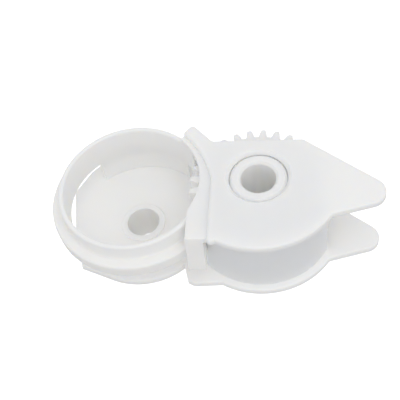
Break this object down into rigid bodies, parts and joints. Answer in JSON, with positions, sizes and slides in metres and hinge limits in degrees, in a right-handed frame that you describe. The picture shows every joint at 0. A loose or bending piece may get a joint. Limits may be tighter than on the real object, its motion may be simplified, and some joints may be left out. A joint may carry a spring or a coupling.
{
  "type": "spur gear swing arm",
  "caption": "Swing arm with a spur gear turning between two plates, a round collar over a pivot bore and a pointed tail.",
  "frame": {"origin": "axis of the pivot bore, at the lower end of the pivot boss", "axes": "+Z along the pivot bore, up out of the collar; +X from the pivot towards the gear and the tail; +Y towards the side where the gear's teeth stand clear of the plates"},
  "size_m": [0.0595, 0.0336, 0.0233],
  "materials": {
    "arm_plastic": "satin natural acetal, faintly translucent",
    "gear_plastic": "satin natural acetal, faintly translucent"
  },
  "bodies": {
    "arm": {"upper_arm": "arm_plastic", "lower_arm": "arm_plastic"},
    "gear": {"swing_gear": "gear_plastic"}
  },
  "joints": [
    {"name": "gear_spin", "type": "hinge", "parent": "arm", "child": "gear", "pos_m": [0.0228, 0, 0.015], "axis": [0, 0, 1], "continuous": true}
  ]
}
